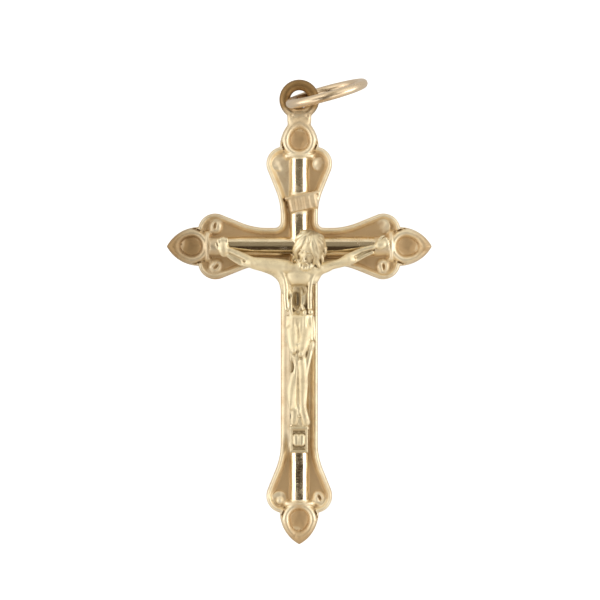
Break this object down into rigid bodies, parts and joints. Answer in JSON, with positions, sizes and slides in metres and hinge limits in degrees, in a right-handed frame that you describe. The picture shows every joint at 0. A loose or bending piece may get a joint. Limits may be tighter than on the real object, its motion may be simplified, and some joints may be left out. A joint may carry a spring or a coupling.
{
  "type": "crucifix pendant",
  "caption": "Small cast gold cross with budded ends, raised rims and rods, a pinned figure, a hanging loop and a round jump ring, lying on its back.",
  "frame": {"origin": "on the flat back face, under the crossing of the rods", "axes": "+Z out of the front, +Y towards the head end and the loop, +X to the right of a viewer who faces the front"},
  "size_m": [0.0186, 0.0326, 0.0058],
  "materials": {
    "rose_gold": "cast, polished on the rims and rods, satin in the sunk fields",
    "yellow_gold": "cast, softly polished",
    "ring_gold": "polished wire"
  },
  "bodies": {
    "root": {"cross": "rose_gold", "corpus": "yellow_gold", "jump_ring": "ring_gold"}
  },
  "joints": []
}
